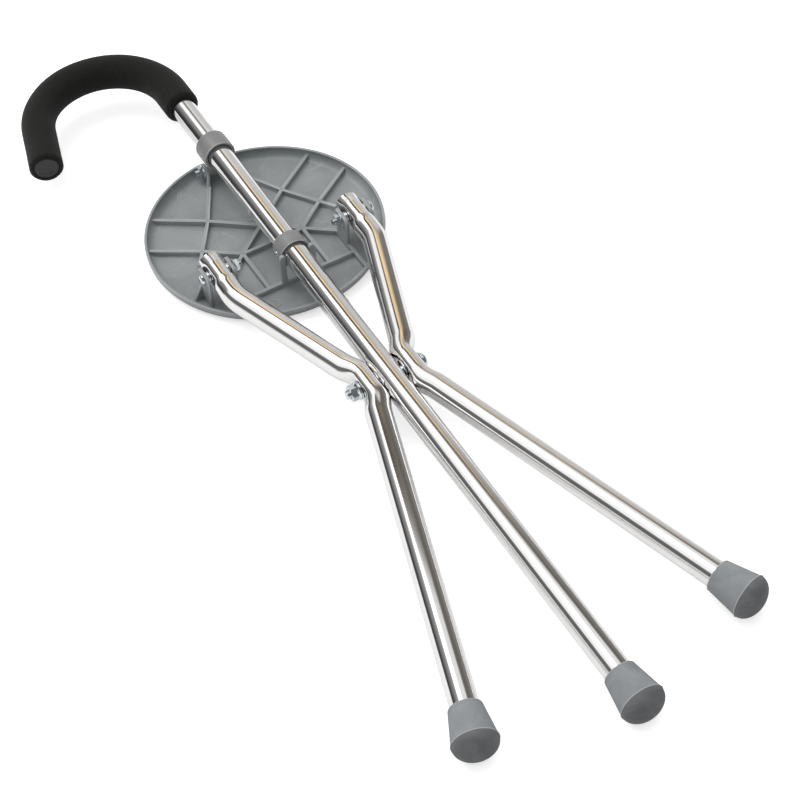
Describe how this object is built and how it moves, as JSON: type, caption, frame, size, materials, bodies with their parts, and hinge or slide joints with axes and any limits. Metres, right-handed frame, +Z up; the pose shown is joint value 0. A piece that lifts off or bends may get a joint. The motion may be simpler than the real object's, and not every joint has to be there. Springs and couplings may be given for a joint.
{
  "type": "seat cane",
  "caption": "Folding walking cane with a crook handle, side legs and a round seat that unfolds into a small stool.",
  "frame": {"origin": "centre of the seat's top flat face, which lies on the floor while the cane lies folded", "axes": "+Y along the cane towards the crook handle, +X to the right leg's side, +Z up off the floor, out of the seat's underside"},
  "size_m": [0.289, 0.8589, 0.0534],
  "materials": {
    "polished_tube": "polished, bright",
    "zinc_fastener": "zinc plated",
    "moulded_plastic": "matt, fine moulded texture",
    "grip_foam": "closed-cell foam, matt",
    "end_plug_plastic": "matt",
    "tip_rubber": "matt"
  },
  "bodies": {
    "cane": {"main_shaft": "polished_tube", "handle_grip": "grip_foam", "handle_end_plug": "end_plug_plastic", "stop_collar": "moulded_plastic", "stop_pin": "zinc_fastener", "main_tip": "tip_rubber", "pivot_bolt": "zinc_fastener", "pivot_nut": "zinc_fastener", "pivot_washer_left": "zinc_fastener", "pivot_washer_right": "zinc_fastener", "pivot_spacer_left": "zinc_fastener", "pivot_spacer_right": "zinc_fastener"},
    "left_leg": {"left_leg": "polished_tube", "left_tip": "tip_rubber"},
    "right_leg": {"right_leg": "polished_tube", "right_tip": "tip_rubber"},
    "seat": {"seat": "moulded_plastic", "collar_hinge_screw": "zinc_fastener", "collar_hinge_nut": "zinc_fastener", "left_leg_screw": "zinc_fastener", "left_leg_nut": "zinc_fastener", "left_leg_washer_inner": "zinc_fastener", "left_leg_washer_outer": "zinc_fastener", "right_leg_screw": "zinc_fastener", "right_leg_nut": "zinc_fastener", "right_leg_washer_inner": "zinc_fastener", "right_leg_washer_outer": "zinc_fastener"},
    "sliding_collar": {"sliding_collar": "moulded_plastic"}
  },
  "joints": [
    {"name": "left_leg_swing", "type": "hinge", "parent": "cane", "child": "left_leg", "pos_m": [0, -0.22462, 0.02675], "axis": [-1, 0, 0], "range_deg": [0, 51.35]},
    {"name": "right_leg_swing", "type": "hinge", "parent": "cane", "child": "right_leg", "pos_m": [0, -0.22462, 0.02675], "axis": [-1, 0, 0], "range_deg": [0, 51.36]},
    {"name": "seat_tilt", "type": "hinge", "parent": "left_leg", "child": "seat", "pos_m": [0, -0.04667, 0.03092], "axis": [1, 0, 0], "range_deg": [0, 115.52]},
    {"name": "collar_slide", "type": "slide", "parent": "cane", "child": "sliding_collar", "axis": [0, -0.9997, -0.0234], "range_m": [0, 0.12702]}
  ],
  "couplings": [
    {"joint": "right_leg_swing", "follows": "left_leg_swing", "ratio": 1},
    {"joint": "seat_tilt", "follows": "left_leg_swing", "ratio": 2.2492},
    {"joint": "collar_slide", "follows": "left_leg_swing", "m_per_rad": 0.1417}
  ]
}
